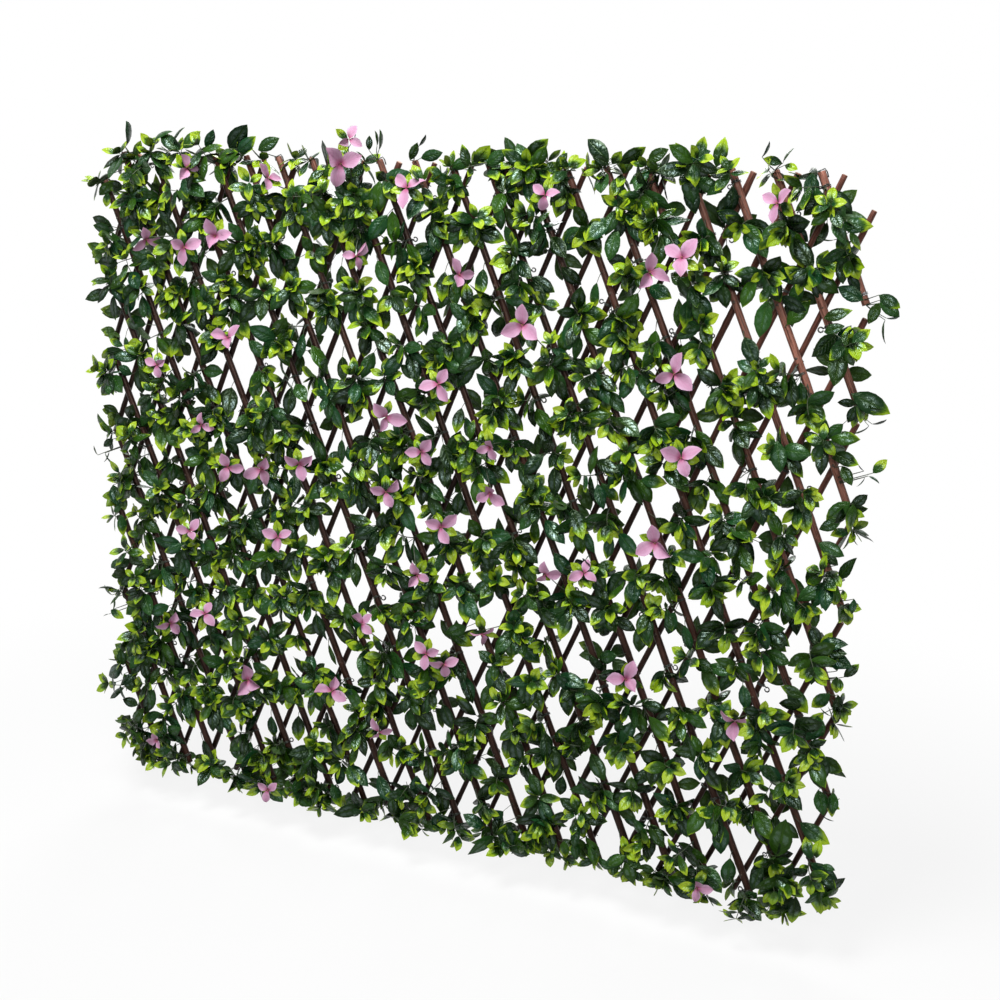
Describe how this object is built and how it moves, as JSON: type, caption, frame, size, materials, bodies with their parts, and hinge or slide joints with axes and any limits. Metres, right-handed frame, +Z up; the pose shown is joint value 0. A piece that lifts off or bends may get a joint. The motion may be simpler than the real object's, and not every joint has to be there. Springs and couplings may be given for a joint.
{
  "type": "expandable lattice fence",
  "caption": "Scissor lattice of round sticks pinned at their crossings, with leaf sprays, that pulls out wide and low or folds narrow and tall.",
  "frame": {"origin": "on the centre pin's axis, midway between the front and the rear sticks", "axes": "+X along the fence to the right as seen from its leafy front, +Y out of its back, +Z up"},
  "size_m": [1.2084, 0.0872, 1.0322],
  "materials": {
    "front_wood": "reddish brown willow bark, satin",
    "rear_wood": "dark brown willow bark, satin",
    "pin_steel": "bright wire nail"
  },
  "bodies": {
    "centre_pin": {"centre_pin": "pin_steel"},
    "front_stick_01": {"front_stick_01": "front_wood"},
    "front_stick_02": {"front_stick_02": "front_wood"},
    "front_stick_03": {"front_stick_03": "front_wood"},
    "front_stick_04": {"front_stick_04": "front_wood"},
    "front_stick_05": {"front_stick_05": "front_wood"},
    "front_stick_06": {"front_stick_06": "front_wood"},
    "front_stick_07": {"front_stick_07": "front_wood"},
    "front_stick_08": {"front_stick_08": "front_wood"},
    "front_stick_09": {"front_stick_09": "front_wood"},
    "front_stick_10": {"front_stick_10": "front_wood"},
    "front_stick_11": {"front_stick_11": "front_wood"},
    "front_stick_12": {"front_stick_12": "front_wood"},
    "front_stick_13": {"front_stick_13": "front_wood"},
    "front_stick_14": {"front_stick_14": "front_wood"},
    "front_stick_15": {"front_stick_15": "front_wood"},
    "front_stick_16": {"front_stick_16": "front_wood"},
    "front_stick_17": {"front_stick_17": "front_wood"},
    "front_stick_18": {"front_stick_18": "front_wood"},
    "front_stick_19": {"front_stick_19": "front_wood"},
    "front_stick_20": {"front_stick_20": "front_wood"},
    "front_stick_21": {"front_stick_21": "front_wood"},
    "front_stick_22": {"front_stick_22": "front_wood"},
    "front_stick_23": {"front_stick_23": "front_wood"},
    "front_stick_24": {"front_stick_24": "front_wood"},
    "front_stick_25": {"front_stick_25": "front_wood"},
    "front_stick_26": {"front_stick_26": "front_wood"},
    "front_stick_27": {"front_stick_27": "front_wood"},
    "rear_stick_01": {"rear_stick_01": "rear_wood"},
    "rear_stick_02": {"rear_stick_02": "rear_wood"},
    "rear_stick_03": {"rear_stick_03": "rear_wood"},
    "rear_stick_04": {"rear_stick_04": "rear_wood"},
    "rear_stick_05": {"rear_stick_05": "rear_wood"},
    "rear_stick_06": {"rear_stick_06": "rear_wood"},
    "rear_stick_07": {"rear_stick_07": "rear_wood"},
    "rear_stick_08": {"rear_stick_08": "rear_wood"},
    "rear_stick_09": {"rear_stick_09": "rear_wood"},
    "rear_stick_10": {"rear_stick_10": "rear_wood"},
    "rear_stick_11": {"rear_stick_11": "rear_wood"},
    "rear_stick_12": {"rear_stick_12": "rear_wood"},
    "rear_stick_13": {"rear_stick_13": "rear_wood"},
    "rear_stick_14": {"rear_stick_14": "rear_wood"},
    "rear_stick_15": {"rear_stick_15": "rear_wood"},
    "rear_stick_16": {"rear_stick_16": "rear_wood"},
    "rear_stick_17": {"rear_stick_17": "rear_wood"},
    "rear_stick_18": {"rear_stick_18": "rear_wood"},
    "rear_stick_19": {"rear_stick_19": "rear_wood"},
    "rear_stick_20": {"rear_stick_20": "rear_wood"},
    "rear_stick_21": {"rear_stick_21": "rear_wood"},
    "rear_stick_22": {"rear_stick_22": "rear_wood"},
    "rear_stick_23": {"rear_stick_23": "rear_wood"},
    "rear_stick_24": {"rear_stick_24": "rear_wood"},
    "rear_stick_25": {"rear_stick_25": "rear_wood"},
    "rear_stick_26": {"rear_stick_26": "rear_wood"},
    "rear_stick_27": {"rear_stick_27": "rear_wood"}
  },
  "joints": [
    {"name": "fold", "type": "hinge", "parent": "centre_pin", "child": "rear_stick_14", "pos_m": [0, 0, 0], "axis": [0, 1, 0], "range_deg": [-14, 18]},
    {"name": "front_stick_14_pivot", "type": "hinge", "parent": "centre_pin", "child": "front_stick_14", "pos_m": [0, 0, 0], "axis": [0, 1, 0], "range_deg": [-18, 14]},
    {"name": "front_stick_07_pivot", "type": "hinge", "parent": "rear_stick_14", "child": "front_stick_07", "pos_m": [-0.20061, 0, -0.46693], "axis": [0, 1, 0], "range_deg": [-36, 28]},
    {"name": "front_stick_08_pivot", "type": "hinge", "parent": "rear_stick_14", "child": "front_stick_08", "pos_m": [-0.17195, 0, -0.40023], "axis": [0, 1, 0], "range_deg": [-36, 28]},
    {"name": "front_stick_09_pivot", "type": "hinge", "parent": "rear_stick_14", "child": "front_stick_09", "pos_m": [-0.14329, 0, -0.33352], "axis": [0, 1, 0], "range_deg": [-36, 28]},
    {"name": "front_stick_10_pivot", "type": "hinge", "parent": "rear_stick_14", "child": "front_stick_10", "pos_m": [-0.11463, 0, -0.26682], "axis": [0, 1, 0], "range_deg": [-36, 28]},
    {"name": "front_stick_11_pivot", "type": "hinge", "parent": "rear_stick_14", "child": "front_stick_11", "pos_m": [-0.08598, 0, -0.20011], "axis": [0, 1, 0], "range_deg": [-36, 28]},
    {"name": "front_stick_12_pivot", "type": "hinge", "parent": "rear_stick_14", "child": "front_stick_12", "pos_m": [-0.05732, 0, -0.13341], "axis": [0, 1, 0], "range_deg": [-36, 28]},
    {"name": "front_stick_13_pivot", "type": "hinge", "parent": "rear_stick_14", "child": "front_stick_13", "pos_m": [-0.02866, 0, -0.0667], "axis": [0, 1, 0], "range_deg": [-36, 28]},
    {"name": "front_stick_15_pivot", "type": "hinge", "parent": "rear_stick_14", "child": "front_stick_15", "pos_m": [0.02866, 0, 0.0667], "axis": [0, 1, 0], "range_deg": [-36, 28]},
    {"name": "front_stick_16_pivot", "type": "hinge", "parent": "rear_stick_14", "child": "front_stick_16", "pos_m": [0.05732, 0, 0.13341], "axis": [0, 1, 0], "range_deg": [-36, 28]},
    {"name": "front_stick_17_pivot", "type": "hinge", "parent": "rear_stick_14", "child": "front_stick_17", "pos_m": [0.08598, 0, 0.20011], "axis": [0, 1, 0], "range_deg": [-36, 28]},
    {"name": "front_stick_18_pivot", "type": "hinge", "parent": "rear_stick_14", "child": "front_stick_18", "pos_m": [0.11463, 0, 0.26682], "axis": [0, 1, 0], "range_deg": [-36, 28]},
    {"name": "front_stick_19_pivot", "type": "hinge", "parent": "rear_stick_14", "child": "front_stick_19", "pos_m": [0.14329, 0, 0.33352], "axis": [0, 1, 0], "range_deg": [-36, 28]},
    {"name": "front_stick_20_pivot", "type": "hinge", "parent": "rear_stick_14", "child": "front_stick_20", "pos_m": [0.17195, 0, 0.40023], "axis": [0, 1, 0], "range_deg": [-36, 28]},
    {"name": "front_stick_21_pivot", "type": "hinge", "parent": "rear_stick_14", "child": "front_stick_21", "pos_m": [0.20061, 0, 0.46693], "axis": [0, 1, 0], "range_deg": [-36, 28]},
    {"name": "rear_stick_07_pivot", "type": "hinge", "parent": "front_stick_14", "child": "rear_stick_07", "pos_m": [-0.20061, 0, 0.46693], "axis": [0, 1, 0], "range_deg": [-28, 36]},
    {"name": "rear_stick_08_pivot", "type": "hinge", "parent": "front_stick_14", "child": "rear_stick_08", "pos_m": [-0.17195, 0, 0.40023], "axis": [0, 1, 0], "range_deg": [-28, 36]},
    {"name": "rear_stick_09_pivot", "type": "hinge", "parent": "front_stick_14", "child": "rear_stick_09", "pos_m": [-0.14329, 0, 0.33352], "axis": [0, 1, 0], "range_deg": [-28, 36]},
    {"name": "rear_stick_10_pivot", "type": "hinge", "parent": "front_stick_14", "child": "rear_stick_10", "pos_m": [-0.11463, 0, 0.26682], "axis": [0, 1, 0], "range_deg": [-28, 36]},
    {"name": "rear_stick_11_pivot", "type": "hinge", "parent": "front_stick_14", "child": "rear_stick_11", "pos_m": [-0.08598, 0, 0.20011], "axis": [0, 1, 0], "range_deg": [-28, 36]},
    {"name": "rear_stick_12_pivot", "type": "hinge", "parent": "front_stick_14", "child": "rear_stick_12", "pos_m": [-0.05732, 0, 0.13341], "axis": [0, 1, 0], "range_deg": [-28, 36]},
    {"name": "rear_stick_13_pivot", "type": "hinge", "parent": "front_stick_14", "child": "rear_stick_13", "pos_m": [-0.02866, 0, 0.0667], "axis": [0, 1, 0], "range_deg": [-28, 36]},
    {"name": "rear_stick_15_pivot", "type": "hinge", "parent": "front_stick_14", "child": "rear_stick_15", "pos_m": [0.02866, 0, -0.0667], "axis": [0, 1, 0], "range_deg": [-28, 36]},
    {"name": "rear_stick_16_pivot", "type": "hinge", "parent": "front_stick_14", "child": "rear_stick_16", "pos_m": [0.05732, 0, -0.13341], "axis": [0, 1, 0], "range_deg": [-28, 36]},
    {"name": "rear_stick_17_pivot", "type": "hinge", "parent": "front_stick_14", "child": "rear_stick_17", "pos_m": [0.08598, 0, -0.20011], "axis": [0, 1, 0], "range_deg": [-28, 36]},
    {"name": "rear_stick_18_pivot", "type": "hinge", "parent": "front_stick_14", "child": "rear_stick_18", "pos_m": [0.11463, 0, -0.26682], "axis": [0, 1, 0], "range_deg": [-28, 36]},
    {"name": "rear_stick_19_pivot", "type": "hinge", "parent": "front_stick_14", "child": "rear_stick_19", "pos_m": [0.14329, 0, -0.33352], "axis": [0, 1, 0], "range_deg": [-28, 36]},
    {"name": "rear_stick_20_pivot", "type": "hinge", "parent": "front_stick_14", "child": "rear_stick_20", "pos_m": [0.17195, 0, -0.40023], "axis": [0, 1, 0], "range_deg": [-28, 36]},
    {"name": "rear_stick_21_pivot", "type": "hinge", "parent": "front_stick_14", "child": "rear_stick_21", "pos_m": [0.20061, 0, -0.46693], "axis": [0, 1, 0], "range_deg": [-28, 36]},
    {"name": "front_stick_01_pivot", "type": "hinge", "parent": "rear_stick_07", "child": "front_stick_01", "pos_m": [-0.57317, 0, -0.40023], "axis": [0, 1, 0], "range_deg": [-36, 28]},
    {"name": "front_stick_02_pivot", "type": "hinge", "parent": "rear_stick_07", "child": "front_stick_02", "pos_m": [-0.54451, 0, -0.33352], "axis": [0, 1, 0], "range_deg": [-36, 28]},
    {"name": "front_stick_03_pivot", "type": "hinge", "parent": "rear_stick_07", "child": "front_stick_03", "pos_m": [-0.51585, 0, -0.26682], "axis": [0, 1, 0], "range_deg": [-36, 28]},
    {"name": "front_stick_04_pivot", "type": "hinge", "parent": "rear_stick_07", "child": "front_stick_04", "pos_m": [-0.48719, 0, -0.20011], "axis": [0, 1, 0], "range_deg": [-36, 28]},
    {"name": "front_stick_05_pivot", "type": "hinge", "parent": "rear_stick_07", "child": "front_stick_05", "pos_m": [-0.45853, 0, -0.13341], "axis": [0, 1, 0], "range_deg": [-36, 28]},
    {"name": "front_stick_06_pivot", "type": "hinge", "parent": "rear_stick_07", "child": "front_stick_06", "pos_m": [-0.42988, 0, -0.0667], "axis": [0, 1, 0], "range_deg": [-36, 28]},
    {"name": "front_stick_22_pivot", "type": "hinge", "parent": "rear_stick_21", "child": "front_stick_22", "pos_m": [0.42988, 0, 0.0667], "axis": [0, 1, 0], "range_deg": [-36, 28]},
    {"name": "front_stick_23_pivot", "type": "hinge", "parent": "rear_stick_21", "child": "front_stick_23", "pos_m": [0.45853, 0, 0.13341], "axis": [0, 1, 0], "range_deg": [-36, 28]},
    {"name": "front_stick_24_pivot", "type": "hinge", "parent": "rear_stick_21", "child": "front_stick_24", "pos_m": [0.48719, 0, 0.20011], "axis": [0, 1, 0], "range_deg": [-36, 28]},
    {"name": "front_stick_25_pivot", "type": "hinge", "parent": "rear_stick_21", "child": "front_stick_25", "pos_m": [0.51585, 0, 0.26682], "axis": [0, 1, 0], "range_deg": [-36, 28]},
    {"name": "front_stick_26_pivot", "type": "hinge", "parent": "rear_stick_21", "child": "front_stick_26", "pos_m": [0.54451, 0, 0.33352], "axis": [0, 1, 0], "range_deg": [-36, 28]},
    {"name": "front_stick_27_pivot", "type": "hinge", "parent": "rear_stick_21", "child": "front_stick_27", "pos_m": [0.57317, 0, 0.40023], "axis": [0, 1, 0], "range_deg": [-36, 28]},
    {"name": "rear_stick_01_pivot", "type": "hinge", "parent": "front_stick_07", "child": "rear_stick_01", "pos_m": [-0.57317, 0, 0.40023], "axis": [0, 1, 0], "range_deg": [-28, 36]},
    {"name": "rear_stick_02_pivot", "type": "hinge", "parent": "front_stick_07", "child": "rear_stick_02", "pos_m": [-0.54451, 0, 0.33352], "axis": [0, 1, 0], "range_deg": [-28, 36]},
    {"name": "rear_stick_03_pivot", "type": "hinge", "parent": "front_stick_07", "child": "rear_stick_03", "pos_m": [-0.51585, 0, 0.26682], "axis": [0, 1, 0], "range_deg": [-28, 36]},
    {"name": "rear_stick_04_pivot", "type": "hinge", "parent": "front_stick_07", "child": "rear_stick_04", "pos_m": [-0.48719, 0, 0.20011], "axis": [0, 1, 0], "range_deg": [-28, 36]},
    {"name": "rear_stick_05_pivot", "type": "hinge", "parent": "front_stick_07", "child": "rear_stick_05", "pos_m": [-0.45853, 0, 0.13341], "axis": [0, 1, 0], "range_deg": [-28, 36]},
    {"name": "rear_stick_06_pivot", "type": "hinge", "parent": "front_stick_07", "child": "rear_stick_06", "pos_m": [-0.42988, 0, 0.0667], "axis": [0, 1, 0], "range_deg": [-28, 36]},
    {"name": "rear_stick_22_pivot", "type": "hinge", "parent": "front_stick_21", "child": "rear_stick_22", "pos_m": [0.42988, 0, -0.0667], "axis": [0, 1, 0], "range_deg": [-28, 36]},
    {"name": "rear_stick_23_pivot", "type": "hinge", "parent": "front_stick_21", "child": "rear_stick_23", "pos_m": [0.45853, 0, -0.13341], "axis": [0, 1, 0], "range_deg": [-28, 36]},
    {"name": "rear_stick_24_pivot", "type": "hinge", "parent": "front_stick_21", "child": "rear_stick_24", "pos_m": [0.48719, 0, -0.20011], "axis": [0, 1, 0], "range_deg": [-28, 36]},
    {"name": "rear_stick_25_pivot", "type": "hinge", "parent": "front_stick_21", "child": "rear_stick_25", "pos_m": [0.51585, 0, -0.26682], "axis": [0, 1, 0], "range_deg": [-28, 36]},
    {"name": "rear_stick_26_pivot", "type": "hinge", "parent": "front_stick_21", "child": "rear_stick_26", "pos_m": [0.54451, 0, -0.33352], "axis": [0, 1, 0], "range_deg": [-28, 36]},
    {"name": "rear_stick_27_pivot", "type": "hinge", "parent": "front_stick_21", "child": "rear_stick_27", "pos_m": [0.57317, 0, -0.40023], "axis": [0, 1, 0], "range_deg": [-28, 36]}
  ],
  "couplings": [
    {"joint": "front_stick_14_pivot", "follows": "fold", "ratio": -1},
    {"joint": "front_stick_07_pivot", "follows": "fold", "ratio": -2},
    {"joint": "front_stick_08_pivot", "follows": "fold", "ratio": -2},
    {"joint": "front_stick_09_pivot", "follows": "fold", "ratio": -2},
    {"joint": "front_stick_10_pivot", "follows": "fold", "ratio": -2},
    {"joint": "front_stick_11_pivot", "follows": "fold", "ratio": -2},
    {"joint": "front_stick_12_pivot", "follows": "fold", "ratio": -2},
    {"joint": "front_stick_13_pivot", "follows": "fold", "ratio": -2},
    {"joint": "front_stick_15_pivot", "follows": "fold", "ratio": -2},
    {"joint": "front_stick_16_pivot", "follows": "fold", "ratio": -2},
    {"joint": "front_stick_17_pivot", "follows": "fold", "ratio": -2},
    {"joint": "front_stick_18_pivot", "follows": "fold", "ratio": -2},
    {"joint": "front_stick_19_pivot", "follows": "fold", "ratio": -2},
    {"joint": "front_stick_20_pivot", "follows": "fold", "ratio": -2},
    {"joint": "front_stick_21_pivot", "follows": "fold", "ratio": -2},
    {"joint": "rear_stick_07_pivot", "follows": "fold", "ratio": 2},
    {"joint": "rear_stick_08_pivot", "follows": "fold", "ratio": 2},
    {"joint": "rear_stick_09_pivot", "follows": "fold", "ratio": 2},
    {"joint": "rear_stick_10_pivot", "follows": "fold", "ratio": 2},
    {"joint": "rear_stick_11_pivot", "follows": "fold", "ratio": 2},
    {"joint": "rear_stick_12_pivot", "follows": "fold", "ratio": 2},
    {"joint": "rear_stick_13_pivot", "follows": "fold", "ratio": 2},
    {"joint": "rear_stick_15_pivot", "follows": "fold", "ratio": 2},
    {"joint": "rear_stick_16_pivot", "follows": "fold", "ratio": 2},
    {"joint": "rear_stick_17_pivot", "follows": "fold", "ratio": 2},
    {"joint": "rear_stick_18_pivot", "follows": "fold", "ratio": 2},
    {"joint": "rear_stick_19_pivot", "follows": "fold", "ratio": 2},
    {"joint": "rear_stick_20_pivot", "follows": "fold", "ratio": 2},
    {"joint": "rear_stick_21_pivot", "follows": "fold", "ratio": 2},
    {"joint": "front_stick_01_pivot", "follows": "fold", "ratio": -2},
    {"joint": "front_stick_02_pivot", "follows": "fold", "ratio": -2},
    {"joint": "front_stick_03_pivot", "follows": "fold", "ratio": -2},
    {"joint": "front_stick_04_pivot", "follows": "fold", "ratio": -2},
    {"joint": "front_stick_05_pivot", "follows": "fold", "ratio": -2},
    {"joint": "front_stick_06_pivot", "follows": "fold", "ratio": -2},
    {"joint": "front_stick_22_pivot", "follows": "fold", "ratio": -2},
    {"joint": "front_stick_23_pivot", "follows": "fold", "ratio": -2},
    {"joint": "front_stick_24_pivot", "follows": "fold", "ratio": -2},
    {"joint": "front_stick_25_pivot", "follows": "fold", "ratio": -2},
    {"joint": "front_stick_26_pivot", "follows": "fold", "ratio": -2},
    {"joint": "front_stick_27_pivot", "follows": "fold", "ratio": -2},
    {"joint": "rear_stick_01_pivot", "follows": "fold", "ratio": 2},
    {"joint": "rear_stick_02_pivot", "follows": "fold", "ratio": 2},
    {"joint": "rear_stick_03_pivot", "follows": "fold", "ratio": 2},
    {"joint": "rear_stick_04_pivot", "follows": "fold", "ratio": 2},
    {"joint": "rear_stick_05_pivot", "follows": "fold", "ratio": 2},
    {"joint": "rear_stick_06_pivot", "follows": "fold", "ratio": 2},
    {"joint": "rear_stick_22_pivot", "follows": "fold", "ratio": 2},
    {"joint": "rear_stick_23_pivot", "follows": "fold", "ratio": 2},
    {"joint": "rear_stick_24_pivot", "follows": "fold", "ratio": 2},
    {"joint": "rear_stick_25_pivot", "follows": "fold", "ratio": 2},
    {"joint": "rear_stick_26_pivot", "follows": "fold", "ratio": 2},
    {"joint": "rear_stick_27_pivot", "follows": "fold", "ratio": 2}
  ]
}
